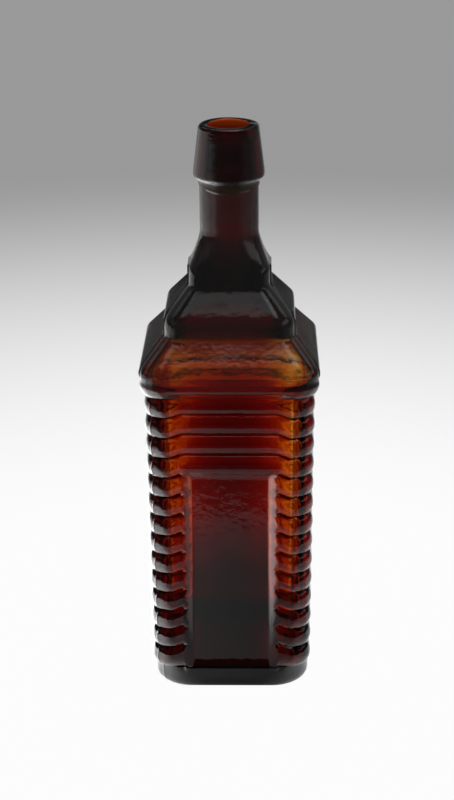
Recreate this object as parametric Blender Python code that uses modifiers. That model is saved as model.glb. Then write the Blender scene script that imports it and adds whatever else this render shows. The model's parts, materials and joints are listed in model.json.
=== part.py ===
"""A mould-blown glass bottle in the shape of a log cabin, with an applied lip.

Metres, +Z up, origin at the middle of the base, the front face looking along -Y.
The body is one blown shell: square log walls, an eave, a roof of stepped tiers
and a round neck. Its front and back each have a sunken label panel. The lip is
a ring of glass that was laid over the sheared end of the neck.
"""

import math
from collections import namedtuple

import bmesh
import bpy

# Bore, neck and applied lip, each wall measured outwards from the bore
BORE_RADIUS = 0.0091
NECK_THICKNESS = 0.0039
NECK_SWELL = 0.0002
NECK_HEIGHT = 0.0237
NECK_END_THICKNESS = 0.0022
NECK_END_ROUND = 0.0006
LIP_HEIGHT = 0.0236
LIP_TOP_THICKNESS = 0.0042
LIP_FOOT_THICKNESS = 0.0065
LIP_FOOT_BAND = 0.0034
LIP_RIM_ROUND = 0.0012
LIP_FOOT_ROUND = 0.0016
LIP_LEDGE = 0.0060
SEAM = 0.0003

# Roof: the flare under the neck, the stepped tiers and the eave
FLARE_HEIGHT = 0.0142
FLARE_RUN = 0.0055
TIER_COUNT = 2
TIER_RUN = 0.0105
TIER_SLOPE = 0.0124
TIER_RISER = 0.0074
TIER_TOP_CORNER = 0.0055
TIER_FOOT_CORNER = 0.0080
TIER_EDGE_RADIUS = 0.0036
EAVE_CORNER = 0.0080
EAVE_UNDERCUT = 0.0075
EAVE_BAND = 0.0045
EAVE_OVERHANG = 0.0020

# Log walls, which taper towards the base
LOG_PITCH = 0.00945
LOG_COUNT = 14
LOG_RELIEF = 0.0017
WALL_TAPER = 0.0010
WALL_CORNER = 0.0095
FRONT_ROW_HALF = 0.0270
FRONT_ROW_BEND = 0.0060
FRONT_ROW_LIFT = 0.0030

# Label panels
LOGS_ABOVE_PANEL = 4
PANEL_WIDTH = 0.0340
PANEL_FOOT_RISE = 0.0041
PANEL_DEPTH = 0.0025
PANEL_BEVEL = 0.0050
CUT_OVERRUN = 0.0030

# Heel and base
HEEL_HEIGHT = 0.0116
HEEL_SET = 0.0010
HEEL_CORNER = 0.0145
HEEL_RADIUS = 0.0055
HEEL_INSET = 0.0037
REST_WIDTH = 0.0103
PUSH_UP_HEIGHT = 0.0024

# Glass thickness
BASE_THICKNESS = 0.0062
WALL_THICKNESS = 0.0048
ROOF_THICKNESS = 0.0052
INNER_CORNER = 0.0110

# Shares that shape the flare (of its height, and of its run) and limit a rounded edge
FLARE_SHARES = ((0.0, 1.0), (0.1, 0.86), (0.5, 0.43), (0.85, 0.06), (1.0, 0.0))
MOST_EDGE_SHARE = 0.9

# Facets
SIDES_OF_SQUARE = 4
COLUMNS_PER_SIDE = 10
COLUMNS = SIDES_OF_SQUARE * COLUMNS_PER_SIDE
COLUMN_SHARES = (0.0, 0.36, 0.65, 0.80, 0.90, 1.0)
LOG_STEPS = 4
ARC_STEPS = 4
HEEL_STEPS = 3

# Radii and half-widths that follow from the sizes above
NECK_RADIUS = BORE_RADIUS + NECK_THICKNESS
NECK_END_RADIUS = BORE_RADIUS + NECK_END_THICKNESS
LIP_TOP_RADIUS = BORE_RADIUS + LIP_TOP_THICKNESS
LIP_FOOT_RADIUS = BORE_RADIUS + LIP_FOOT_THICKNESS
FLARE_HALF = NECK_RADIUS + FLARE_RUN
EAVE_HALF = FLARE_HALF + TIER_COUNT * TIER_RUN
WALL_HALF_HIGH = EAVE_HALF - EAVE_OVERHANG
WALL_HALF_LOW = WALL_HALF_HIGH - WALL_TAPER
HEEL_HALF = WALL_HALF_LOW - HEEL_SET
BASE_HALF = HEEL_HALF - HEEL_INSET
PUSH_UP_HALF = BASE_HALF - REST_WIDTH

# Heights that follow from the sizes above
WALL_TOP = HEEL_HEIGHT + LOG_COUNT * LOG_PITCH
EAVE_HEIGHT = WALL_TOP + EAVE_UNDERCUT
ROOF_FOOT = EAVE_HEIGHT + EAVE_BAND
ROOF_TOP = ROOF_FOOT + TIER_COUNT * (TIER_SLOPE + TIER_RISER)
NECK_FOOT = ROOF_TOP + FLARE_HEIGHT
LIP_FOOT = NECK_FOOT + NECK_HEIGHT
LIP_TOP = LIP_FOOT + LIP_HEIGHT
NECK_END = LIP_TOP - LIP_LEDGE
PANEL_FOOT = HEEL_HEIGHT + PANEL_FOOT_RISE
PANEL_HEAD = WALL_TOP - LOGS_ABOVE_PANEL * LOG_PITCH + FRONT_ROW_LIFT - PANEL_DEPTH

AMBER = (0.23, 0.055, 0.012, 1.0)
DARK_AMBER = (0.10, 0.025, 0.010, 1.0)
GLASS_ROUGHNESS = 0.06
GLASS_IOR = 1.52
SHARP_ANGLE = math.radians(35)
SCREW_WELD = 0.00001

# One section of the shell: a square of this half-width with rounded corners.
# Lift raises the middle of the front and back, where the log rows are staggered.
Section = namedtuple("Section", "height half corner lift", defaults=(0.0,))


def column_directions(roundness):
    """Unit vectors of the columns, even round a circle and bunched at a square's corners."""
    side = COLUMN_SHARES[1:] + tuple(-share for share in COLUMN_SHARES[1:-1])
    offsets = sorted(side + (COLUMN_SHARES[0],))
    quarter = math.tau / SIDES_OF_SQUARE
    even_step = quarter / COLUMNS_PER_SIDE
    vectors = []
    for face in range(SIDES_OF_SQUARE):
        for index, share in enumerate(offsets):
            square_angle = math.atan(share)
            even_angle = (index + 1) * even_step - quarter / 2
            angle = square_angle + roundness * (even_angle - square_angle)
            vectors.append((math.cos(face * quarter + angle), math.sin(face * quarter + angle)))
    return vectors


def reach(direction, half, corner):
    """Distance from the axis to a rounded square's outline."""
    along = max(abs(direction[0]), abs(direction[1]))
    across = min(abs(direction[0]), abs(direction[1]))
    middle = half - corner
    if across * half <= middle * along:
        return half / along
    to_middle = middle * (along + across)
    return to_middle + math.sqrt(max(to_middle**2 - 2 * middle**2 + corner**2, 0.0))


def stagger(across):
    """How far the staggered rows reach at this distance from the middle of a face, 0 to 1."""
    inner_edge = FRONT_ROW_HALF - FRONT_ROW_BEND / 2
    return min(max((inner_edge + FRONT_ROW_BEND - across) / FRONT_ROW_BEND, 0.0), 1.0)


def section_points(section):
    """The points of one section, in order round the axis."""
    points = []
    for direction in column_directions(section.corner / section.half):
        distance = reach(direction, section.half, section.corner)
        x, y = direction[0] * distance, direction[1] * distance
        faces_front_or_back = abs(y) > abs(x)
        rise = section.lift * stagger(abs(x)) if faces_front_or_back else 0.0
        points.append((x, y, section.height + rise))
    return points


def loft(bm, sections, start_height, end_height):
    """Skin the sections in order and close both ends with a fan to a point on the axis."""
    rings = [[bm.verts.new(point) for point in section_points(s)] for s in sections]
    start = bm.verts.new((0.0, 0.0, start_height))
    end = bm.verts.new((0.0, 0.0, end_height))
    for i in range(COLUMNS):
        j = (i + 1) % COLUMNS
        bm.faces.new((start, rings[0][j], rings[0][i]))
        for lower, upper in zip(rings, rings[1:]):
            bm.faces.new((lower[i], lower[j], upper[j], upper[i]))
        bm.faces.new((end, rings[-1][i], rings[-1][j]))


def quarter_arc(steps):
    """Pairs (sine, cosine) along a quarter circle."""
    turn = math.pi / 2
    return [(math.sin(turn * i / steps), math.cos(turn * i / steps)) for i in range(steps + 1)]


def log_bulge(share):
    """Height of a half-round log over its groove at a share of its pitch."""
    half_pitch = LOG_PITCH / 2
    radius = (half_pitch**2 + LOG_RELIEF**2) / (2 * LOG_RELIEF)
    offset = abs(2 * share - 1) * half_pitch
    return math.sqrt(radius**2 - offset**2) - (radius - LOG_RELIEF)


def wall_half(height):
    """Half-width over the logs' crests at a height of the wall."""
    share = (height - HEEL_HEIGHT) / (WALL_TOP - HEEL_HEIGHT)
    return WALL_HALF_LOW + share * (WALL_HALF_HIGH - WALL_HALF_LOW)


def base_sections():
    """From the push-up in the base out to the heel."""
    sections = []
    for rise, spread in quarter_arc(ARC_STEPS)[1:]:
        sections.append(Section(PUSH_UP_HEIGHT * spread, PUSH_UP_HALF * rise, PUSH_UP_HALF * rise))
    inset = HEEL_HALF - BASE_HALF
    for rise, spread in quarter_arc(ARC_STEPS):
        half = BASE_HALF + inset * rise
        sections.append(Section(HEEL_RADIUS * (1 - spread), half, HEEL_CORNER))
    groove = wall_half(HEEL_HEIGHT) - LOG_RELIEF
    for rise, spread in quarter_arc(HEEL_STEPS)[1:-1]:
        height = HEEL_RADIUS + (HEEL_HEIGHT - HEEL_RADIUS) * rise
        sections.append(Section(height, groove + (HEEL_HALF - groove) * spread, HEEL_CORNER))
    return sections


def log_sections():
    """The stacked logs, from the groove over the heel to the groove under the eave."""
    sections = []
    for row in range(LOG_COUNT):
        foot_lift = FRONT_ROW_LIFT if row > 0 else 0.0
        head_lift = FRONT_ROW_LIFT if row < LOG_COUNT - 1 else 0.0
        for step in range(LOG_STEPS):
            share = step / LOG_STEPS
            height = HEEL_HEIGHT + (row + share) * LOG_PITCH
            half = wall_half(height) - LOG_RELIEF + log_bulge(share)
            lift = foot_lift + share * (head_lift - foot_lift)
            sections.append(Section(height, half, WALL_CORNER, lift))
    sections.append(Section(WALL_TOP, wall_half(WALL_TOP) - LOG_RELIEF, WALL_CORNER))
    return sections


def eave_sections():
    """The rounded underside of the eave and its upright band."""
    wall = wall_half(WALL_TOP) - LOG_RELIEF
    overhang = EAVE_HALF - wall
    sections = []
    for rise, spread in quarter_arc(ARC_STEPS)[1:]:
        height = WALL_TOP + EAVE_UNDERCUT * (1 - spread)
        sections.append(Section(height, wall + overhang * rise, EAVE_CORNER))
    return sections


def soft_edge(before, edge, after):
    """Three sections that round the edge between two stretches of the profile."""
    ends = []
    for other in (before, after):
        rise = other.height - edge.height
        run = other.half - edge.half
        share = min(TIER_EDGE_RADIUS / math.hypot(rise, run), MOST_EDGE_SHARE)
        corner = edge.corner + share * (other.corner - edge.corner)
        ends.append(Section(edge.height + share * rise, edge.half + share * run, corner))
    middle = [(first + 2 * at + last) / 4 for first, at, last in zip(ends[0], edge, ends[1])]
    return [ends[0], Section(*middle), ends[1]]


def roof_sections():
    """The stepped tiers: each slopes in, then stands up as a riser."""
    height, half, corner = ROOF_FOOT, EAVE_HALF, EAVE_CORNER
    below = Section(EAVE_HEIGHT, EAVE_HALF, EAVE_CORNER)
    sections = []
    for _ in range(TIER_COUNT):
        foot = Section(height, half, corner)
        height += TIER_SLOPE
        half -= TIER_RUN
        head = Section(height, half, TIER_TOP_CORNER)
        sections += soft_edge(below, foot, head) + [head]
        height += TIER_RISER
        corner = TIER_FOOT_CORNER
        below = head
    return sections


def flare_sections():
    """The top tier, which turns from the square roof into the round neck."""
    sections = []
    for rise_share, spread_share in FLARE_SHARES:
        half = NECK_RADIUS + FLARE_RUN * spread_share
        corner = TIER_FOOT_CORNER + (half - TIER_FOOT_CORNER) * rise_share
        sections.append(Section(ROOF_TOP + FLARE_HEIGHT * rise_share, half, corner))
    return sections


def neck_sections():
    """The neck, its seat inside the lip and its sheared end."""
    swell = NECK_RADIUS + NECK_SWELL
    shoulder = NECK_END - NECK_END_ROUND
    end = NECK_END_RADIUS - NECK_END_ROUND
    return [
        Section(LIP_FOOT, swell, swell),
        Section(shoulder, NECK_END_RADIUS, NECK_END_RADIUS),
        Section(NECK_END, end, end),
        Section(NECK_END, BORE_RADIUS, BORE_RADIUS),
    ]


def cavity_sections():
    """The inside of the glass, from the neck's end down to the floor."""
    roof_inner = EAVE_HALF - ROOF_THICKNESS
    top_inner = FLARE_HALF - ROOF_THICKNESS
    wall_high = wall_half(WALL_TOP) - WALL_THICKNESS
    wall_low = wall_half(HEEL_HEIGHT) - WALL_THICKNESS
    floor = PUSH_UP_HEIGHT + BASE_THICKNESS
    round_up = INNER_CORNER / 2
    sections = [
        Section(NECK_FOOT, BORE_RADIUS, BORE_RADIUS),
        Section(ROOF_TOP + FLARE_HEIGHT / 2, (BORE_RADIUS + top_inner) / 2, BORE_RADIUS),
        Section(ROOF_TOP - TIER_RISER / 2, top_inner, INNER_CORNER),
        Section(ROOF_FOOT, roof_inner - TIER_EDGE_RADIUS, INNER_CORNER),
        Section(EAVE_HEIGHT, roof_inner, INNER_CORNER),
        Section(WALL_TOP, wall_high, INNER_CORNER),
    ]
    for rise, spread in reversed(quarter_arc(ARC_STEPS)):
        half = wall_low - round_up * (1 - rise)
        sections.append(Section(floor + round_up * (1 - spread), half, INNER_CORNER))
    return sections


def new_object(name, mesh, collection, material):
    """Link a mesh to the scene as a smooth-shaded object of its own."""
    obj = bpy.data.objects.new(name, mesh)
    collection.objects.link(obj)
    mesh.materials.append(material)
    mesh.shade_smooth()
    mesh.set_sharp_from_angle(angle=SHARP_ANGLE)
    return obj


def glass_material(name, colour):
    """A plain glass with the piece's colour."""
    material = bpy.data.materials.new(name)
    material.use_nodes = True
    shader = material.node_tree.nodes["Principled BSDF"]
    shader.inputs["Base Color"].default_value = colour
    shader.inputs["Roughness"].default_value = GLASS_ROUGHNESS
    shader.inputs["IOR"].default_value = GLASS_IOR
    shader.inputs["Metallic"].default_value = 0.0
    shader.inputs["Transmission Weight"].default_value = 1.0
    return material


def make_body(collection):
    """The blown shell, outside and inside skinned as one closed surface."""
    bm = bmesh.new()
    outside = base_sections() + log_sections() + eave_sections() + roof_sections()
    outside += flare_sections() + neck_sections()
    loft(bm, outside + cavity_sections(), PUSH_UP_HEIGHT, PUSH_UP_HEIGHT + BASE_THICKNESS)
    mesh = bpy.data.meshes.new("bottle_body")
    bm.to_mesh(mesh)
    bm.free()
    return new_object("bottle_body", mesh, collection, glass_material("amber_glass", AMBER))


def make_panel_cutter(side, collection):
    """A frustum that sinks one label panel, leaning with the tapered wall."""
    depth = PANEL_DEPTH + CUT_OVERRUN
    spread = PANEL_BEVEL / PANEL_DEPTH * depth
    middle = (PANEL_FOOT + PANEL_HEAD) / 2
    face = wall_half(middle)
    bm = bmesh.new()
    bmesh.ops.create_cube(bm, size=1.0)
    for vert in bm.verts:
        outer = 1 if vert.co.y < 0 else 0
        vert.co.x *= PANEL_WIDTH + 2 * spread * outer
        vert.co.z *= PANEL_HEAD - PANEL_FOOT + 2 * spread * outer
        vert.co.y = -CUT_OVERRUN if outer else PANEL_DEPTH
    mesh = bpy.data.meshes.new("panel_cutter")
    bm.to_mesh(mesh)
    bm.free()
    cutter = bpy.data.objects.new("panel_cutter", mesh)
    lean = math.atan2(WALL_HALF_HIGH - WALL_HALF_LOW, WALL_TOP - HEEL_HEIGHT)
    cutter.location = (0.0, -face * side, middle)
    cutter.rotation_euler = (lean, 0.0, 0.0 if side > 0 else math.pi)
    cutter.hide_render = True
    cutter.display_type = "WIRE"
    collection.objects.link(cutter)
    return cutter


def sink_panels(body, collection):
    """Cut the label panels into the front and the back."""
    for side in (1, -1):
        cut = body.modifiers.new("label_panel", "BOOLEAN")
        cut.operation = "DIFFERENCE"
        cut.solver = "EXACT"
        cut.object = make_panel_cutter(side, collection)


def make_lip(collection):
    """The applied lip, turned about the neck's axis."""
    ledge = NECK_END + SEAM
    seat_top = NECK_END_RADIUS + SEAM
    seat_foot = NECK_RADIUS + NECK_SWELL + SEAM
    rim = LIP_TOP_RADIUS - LIP_RIM_ROUND
    foot = LIP_FOOT_RADIUS - LIP_FOOT_ROUND
    bore_round = LIP_RIM_ROUND / 2
    profile = [(BORE_RADIUS + bore_round, LIP_TOP)]
    for rise, spread in quarter_arc(ARC_STEPS):
        profile.append((rim + LIP_RIM_ROUND * rise, LIP_TOP - LIP_RIM_ROUND * (1 - spread)))
    profile.append((LIP_FOOT_RADIUS, LIP_FOOT + LIP_FOOT_BAND))
    for rise, spread in reversed(quarter_arc(ARC_STEPS)):
        profile.append((foot + LIP_FOOT_ROUND * rise, LIP_FOOT + LIP_FOOT_ROUND * (1 - spread)))
    profile += [
        (seat_foot, LIP_FOOT),
        (seat_top, ledge - NECK_END_ROUND),
        (seat_top, ledge),
        (BORE_RADIUS, ledge),
        (BORE_RADIUS, LIP_TOP - bore_round),
    ]
    mesh = bpy.data.meshes.new("applied_lip")
    points = [(radius, 0.0, height - NECK_END) for radius, height in profile]
    count = len(points)
    mesh.from_pydata(points, [(i, (i + 1) % count) for i in range(count)], [])
    lip = new_object("applied_lip", mesh, collection, glass_material("lip_glass", DARK_AMBER))
    lip.location = (0.0, 0.0, NECK_END)
    turn = lip.modifiers.new("turn", "SCREW")
    turn.steps = COLUMNS
    turn.render_steps = COLUMNS
    turn.use_merge_vertices = True
    turn.merge_threshold = SCREW_WELD
    turn.use_smooth_shade = True
    return lip


def main():
    for obj in list(bpy.data.objects):
        bpy.data.objects.remove(obj, do_unlink=True)
    parts = bpy.data.collections.new("log_cabin_bottle")
    cutters = bpy.data.collections.new("cutters")
    for collection in (parts, cutters):
        bpy.context.scene.collection.children.link(collection)
    frame = bpy.data.objects.new("bottle", None)
    parts.objects.link(frame)
    body = make_body(parts)
    sink_panels(body, cutters)
    lip = make_lip(parts)
    body.parent = frame
    lip.parent = frame
    print(f"base to lip {LIP_TOP:.4f} m, eave {2 * EAVE_HALF:.4f} m wide")


main()
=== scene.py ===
# %% [markdown]
# # A log-cabin bottle in amber glass
#
# The bottle was blown in a mould in the 1860s. It is a hollow shell of dark amber
# glass, and its finish is a second piece of glass, the collar that was laid hot over
# the neck's cut end. The packed model holds both as plain solids. This lesson lays
# a finer skin over each of them, gives it the glass, and lights it from below and
# behind, as clear things are photographed.

# %% Load the packed model
import json
import math

import bpy
import numpy as np
from mathutils import Matrix, Vector, noise

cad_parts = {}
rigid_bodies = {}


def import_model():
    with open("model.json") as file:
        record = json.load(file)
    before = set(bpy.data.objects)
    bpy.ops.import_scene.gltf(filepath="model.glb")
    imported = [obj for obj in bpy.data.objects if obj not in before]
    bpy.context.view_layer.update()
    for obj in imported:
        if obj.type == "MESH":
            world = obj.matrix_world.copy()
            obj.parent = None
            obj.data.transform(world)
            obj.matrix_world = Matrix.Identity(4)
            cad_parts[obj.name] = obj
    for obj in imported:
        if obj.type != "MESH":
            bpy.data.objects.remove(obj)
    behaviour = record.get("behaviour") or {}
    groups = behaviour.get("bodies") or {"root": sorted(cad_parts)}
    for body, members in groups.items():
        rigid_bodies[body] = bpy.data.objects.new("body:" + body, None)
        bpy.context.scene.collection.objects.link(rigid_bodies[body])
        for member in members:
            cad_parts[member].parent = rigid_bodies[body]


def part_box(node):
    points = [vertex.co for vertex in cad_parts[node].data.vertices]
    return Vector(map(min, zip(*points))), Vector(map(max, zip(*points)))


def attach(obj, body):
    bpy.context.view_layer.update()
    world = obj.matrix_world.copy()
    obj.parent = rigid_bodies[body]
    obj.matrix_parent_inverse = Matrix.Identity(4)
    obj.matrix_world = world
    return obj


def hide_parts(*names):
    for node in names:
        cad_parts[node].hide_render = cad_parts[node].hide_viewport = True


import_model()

scene = bpy.context.scene
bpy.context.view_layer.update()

# %% [markdown]
# ## The camera
#
# The camera looks down on the label panel from higher than the mouth. Its place could
# be found by eye. It was worked out from the heights of the log grooves and from the
# ellipse of the mouth, because they only agree at the right distance. The lens is
# given in pixels of the picture and turned into millimetres on Blender's own sensor.

# %% Place the camera
IMAGE_HEIGHT = 800
FOCAL_PIXELS = 1714
SENSOR = 36.0
CAMERA_PLACE = (0.01354, -0.72748, 0.4127)
CAMERA_PITCH = math.radians(21.25)
CAMERA_TURN = math.radians(1.2)
CAMERA_ROLL = math.radians(-0.5)


def add_object(name, data):
    """A new object in the scene."""
    made = bpy.data.objects.new(name, data)
    scene.collection.objects.link(made)
    return made


camera = add_object("studio_camera", bpy.data.cameras.new("studio_camera"))
camera.data.sensor_width = SENSOR
camera.data.lens = FOCAL_PIXELS * SENSOR / IMAGE_HEIGHT
camera.data.clip_start = 0.01
camera.data.clip_end = 100.0
turn = Matrix.Rotation(CAMERA_TURN, 4, "Z")
tilt = Matrix.Rotation(math.pi / 2 - CAMERA_PITCH, 4, "X")
roll = Matrix.Rotation(CAMERA_ROLL, 4, "Z")
camera.matrix_world = Matrix.Translation(CAMERA_PLACE) @ turn @ tilt @ roll
scene.camera = camera
print(f"lens {camera.data.lens:.2f} mm")

# %% [markdown]
# ## The sizes that the bottle is built on
#
# These are the mould maker's sizes, in metres. What the packed solids already say,
# such as the height of the lip and the width of the eave, is read from their boxes,
# so the fine skin can't drift away from them.

# %% Read the driving sizes
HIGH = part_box("bottle_body")[1]
LIP_LOW, LIP_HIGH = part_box("applied_lip")
EAVE_HALF = HIGH[0]
NECK_END = HIGH[2]
LIP_FOOT = LIP_LOW[2]
LIP_TOP = LIP_HIGH[2]
LIP_FOOT_RADIUS = LIP_HIGH[0]

PUSH_UP_HALF = 0.0215
PUSH_UP_HEIGHT = 0.0024
BASE_HALF = 0.0318
HEEL_HALF = 0.0355
HEEL_CORNER = 0.0145
HEEL_RADIUS = 0.0055
HEEL_HEIGHT = 0.0116

LOG_PITCH = 0.00945
LOG_COUNT = 14
LOG_RELIEF = 0.0017
WALL_HALF_LOW = 0.0365
WALL_HALF_HIGH = 0.0375
WALL_CORNER = 0.0095
WALL_TOP = HEEL_HEIGHT + LOG_COUNT * LOG_PITCH

PANEL_HALF = 0.0170
PANEL_FOOT = 0.0157
PANEL_HEAD = 0.1066
PANEL_DEPTH = 0.0025
PANEL_BEVEL = 0.0040

EAVE_UNDERCUT = 0.0075
EAVE_BAND = 0.0045
TIER_RUN = 0.0105
TIER_SLOPE = 0.0124
TIER_RISER = 0.0074
MIDDLE_HALF = EAVE_HALF - TIER_RUN
TOP_HALF = EAVE_HALF - 2 * TIER_RUN
EAVE_HEIGHT = WALL_TOP + EAVE_UNDERCUT
ROOF_FOOT = EAVE_HEIGHT + EAVE_BAND
MIDDLE_TIER = ROOF_FOOT + TIER_SLOPE + TIER_RISER
ROOF_TOP = MIDDLE_TIER + TIER_SLOPE + TIER_RISER

NECK_RADIUS = 0.0130
NECK_FOOT = 0.2097
NECK_END_RADIUS = 0.0113
BORE_RADIUS = 0.0091
LIP_TOP_RADIUS = 0.0133
print(f"walls end at {WALL_TOP:.4f} m, roof at {ROOF_TOP:.4f} m, neck at {NECK_END:.4f} m")

# %% [markdown]
# ## Rings round the bottle
#
# Every level of the bottle is a square with rounded corners, which grow until the
# square is the neck's circle. So the shell is skinned from rings, one for each level.
# A ring's points are spread by a share of each face, so that a column follows the
# panel's edge all the way up. A corner has two sizes, along the front and along the
# side, because the roof's plates start far behind its hips.

# %% Spread points round a ring
FLAT_SHARE = 0.8
FACE_OUT = np.array([(0, -1), (1, 0), (0, 1), (-1, 0)])
FACE_ALONG = np.array([(1, 0), (0, 1), (-1, 0), (0, -1)])


def whole_face(half_shares):
    """Shares across a whole face, from those of its right half."""
    half_shares = np.asarray(half_shares)
    return np.concatenate([-half_shares[:0:-1], half_shares])[1:]


def columns(front, side=None):
    """Face numbers and shares of a ring's points, from halves of a front and a side."""
    rows = [whole_face(front), whole_face(front if side is None else side)] * 2
    numbers = [np.full(len(row), number) for number, row in enumerate(rows)]
    return np.concatenate(numbers), np.concatenate(rows)


def outline(half, along, inward, share):
    """Across and out from a face's middle, and the way that the outline faces there."""
    size = np.abs(share)
    flat_across, flat_out = half - along, half - inward
    swing = np.clip((size - FLAT_SHARE) / (1 - FLAT_SHARE), 0, 1) * math.pi / 4
    on_flat = size <= FLAT_SHARE
    across = np.where(on_flat, size / FLAT_SHARE * flat_across, flat_across + along * np.sin(swing))
    out = np.where(on_flat, half, flat_out + inward * np.cos(swing))
    roundness = np.clip((along + inward) / half - 1, 0, 1)
    angle = (1 - roundness) * np.arctan2(across, out) + roundness * size * math.pi / 4
    sine, cosine = np.sin(angle), np.cos(angle)
    square = (sine / along) ** 2 + (cosine / inward) ** 2
    middle = sine * flat_across / along**2 + cosine * flat_out / inward**2
    rest = (flat_across / along) ** 2 + (flat_out / inward) ** 2 - 1
    rounded = (middle + np.sqrt(np.maximum(middle**2 - square * rest, 0))) / square
    reach = np.where(sine * half <= flat_across * cosine, half / cosine, rounded)
    across, out = sine * reach, cosine * reach
    on_corner = across > flat_across
    lean_across = np.where(on_corner, (across - flat_across) / along**2, 0)
    lean_out = np.where(on_corner, (out - flat_out) / inward**2, 1)
    length = np.hypot(lean_across, lean_out)
    side = np.sign(share)
    return across * side, out, lean_across / length * side, lean_out / length


def corner_of(face, front, side):
    """A corner's size along a ring's own face and along the next one."""
    on_front = face % 2 == 0
    return np.where(on_front, front, side), np.where(on_front, side, front)


print(f"corners take the last {1 - FLAT_SHARE:.0%} of each half face")

# %% [markdown]
# ## The skin
#
# Two rings with the same columns are joined with quads. Where the thatched roof
# starts, a ring with many columns follows one with few, and those two are joined
# with a zipper of triangles on a flat stretch where it can't show.

# %% Join rings into a mesh
SHARP_ANGLE = math.radians(60)


def quads_between(lower, upper):
    """Faces between two rings that have the same columns."""
    after_lower, after_upper = np.roll(lower, -1), np.roll(upper, -1)
    return np.stack([lower, after_lower, after_upper, upper], axis=1).tolist()


def zip_between(lower, lower_at, upper, upper_at):
    """Faces between two rings whose columns differ."""
    lower_at = list(lower_at) + [lower_at[0] + 4]
    upper_at = list(upper_at) + [upper_at[0] + 4]
    lower, upper = lower.tolist(), upper.tolist()
    count, upper_count = len(lower), len(upper)
    faces = []
    i = j = 0
    while i < count or j < upper_count:
        if j >= upper_count or (i < count and lower_at[i + 1] <= upper_at[j + 1]):
            faces.append([lower[i], lower[(i + 1) % count], upper[j % upper_count]])
            i += 1
        else:
            faces.append([lower[i % count], upper[(j + 1) % upper_count], upper[j % upper_count]])
            j += 1
    return faces


def skin(bands, start, end):
    """One closed surface from bands of rings, with a fan to a point at either end."""
    points = [np.array([start])]
    faces = []
    total = 1
    last = None
    for grid, face, share in bands:
        at = face + (share + 1) / 2
        for ring in grid:
            index = np.arange(total, total + len(ring))
            total += len(ring)
            points.append(ring)
            if last is None:
                faces += [[0, int(index[(i + 1) % len(index)]), int(index[i])] for i in range(len(index))]
            elif len(last[0]) == len(index):
                faces += quads_between(last[0], index)
            else:
                faces += zip_between(last[0], last[1], index, at)
            last = (index, at)
    index = last[0]
    faces += [[total, int(index[i]), int(index[(i + 1) % len(index)])] for i in range(len(index))]
    points.append(np.array([end]))
    return np.concatenate(points), faces


def mesh_object(name, points, faces):
    """A smooth-shaded object from points and faces."""
    mesh = bpy.data.meshes.new(name)
    mesh.from_pydata(points.tolist(), [], faces)
    mesh.shade_smooth()
    mesh.set_sharp_from_angle(angle=SHARP_ANGLE)
    return add_object(name, mesh)


print(f"edges sharper than {math.degrees(SHARP_ANGLE):.0f} degrees stay crisp")

# %% [markdown]
# ## Waves in old glass
#
# Glass blown in a cold iron mould is never flat: it is faintly rippled outside, where
# it chilled, and softly wavy inside, where only air pressed it. A texture would bend
# the shading only. Here the points are moved, which bends the light inside as well.

# %% Make waves
def waves(points, size, seed):
    """Smooth noise from -1 to 1 at each point, with waves of about this size."""
    offset = Vector((seed, 2 * seed, 3 * seed))
    flat = points.reshape(-1, 3) / size
    values = [noise.noise(Vector(point) + offset) for point in flat.tolist()]
    return np.array(values).reshape(points.shape[:-1])


def smooth(value, low, high):
    """0 below low, 1 above high and an even curve between them."""
    t = np.clip((value - low) / (high - low), 0, 1)
    return t * t * (3 - 2 * t)


def between(value, rise, fall):
    """1 between a rise and a fall, each given by its start and its end."""
    return smooth(value, *rise) * (1 - smooth(value, *fall))


print("a quarter of the way in, smooth gives", smooth(0.25, 0, 1))

# %% [markdown]
# ## Levels and soft bends
#
# The profile runs from the push-up in the base, round the heel, up the walls, out to
# the eave and up the roof in steps to the neck. Its bends could be cut with a bevel.
# They are rounded here with a curve that starts a set distance before each bend,
# because a mould's edges come out soft by a known amount.

# %% Round a path
def quarter(steps):
    """Sine and cosine pairs along a quarter turn."""
    angles = [math.pi / 2 * i / steps for i in range(steps + 1)]
    return [(math.sin(angle), math.cos(angle)) for angle in angles]


def rounded_path(path, sizes, steps=5):
    """The path with each inner corner rounded over the size given for it."""
    points = [np.array(path[0], float)]
    for before, corner, after, size in zip(path, path[1:], path[2:], sizes):
        corner = np.array(corner, float)
        ends = []
        for other in (before, after):
            leg = np.array(other, float) - corner
            ends.append(corner + leg * min(size / math.hypot(leg[0], leg[1]), 0.48))
        for i in range(steps + 1):
            t = i / steps
            points.append((1 - t) ** 2 * ends[0] + 2 * t * (1 - t) * corner + t * t * ends[1])
    points.append(np.array(path[-1], float))
    return points


def with_steps(points, longest):
    """The same path with no step longer than this."""
    result = [points[0]]
    for before, after in zip(points, points[1:]):
        count = max(1, math.ceil(math.hypot(*(after - before)[:2]) / longest))
        result += [before + (after - before) * (i + 1) / count for i in range(count)]
    return result


def even(height, half, corner):
    """A level whose corners are the same on all faces."""
    return (height, half, corner, corner)


def mix(first, last, share):
    """A value this share of the way from the first to the last."""
    return first + (last - first) * share


print(f"half way round a bend, sine and cosine are {quarter(2)[1][0]:.3f}")

# %% [markdown]
# ## Base and walls
#
# The bottle stands on a narrow flat round the push-up, a hollow that kept the base
# from rocking. The heel is plain. The walls are drawn at the depth of the grooves, and
# their levels crowd together there, where the logs turn sharply.

# %% Draw the base and walls
PUSH_UP_STEPS = 10
HEEL_STEPS = 8
LOG_STEPS = 12


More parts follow.
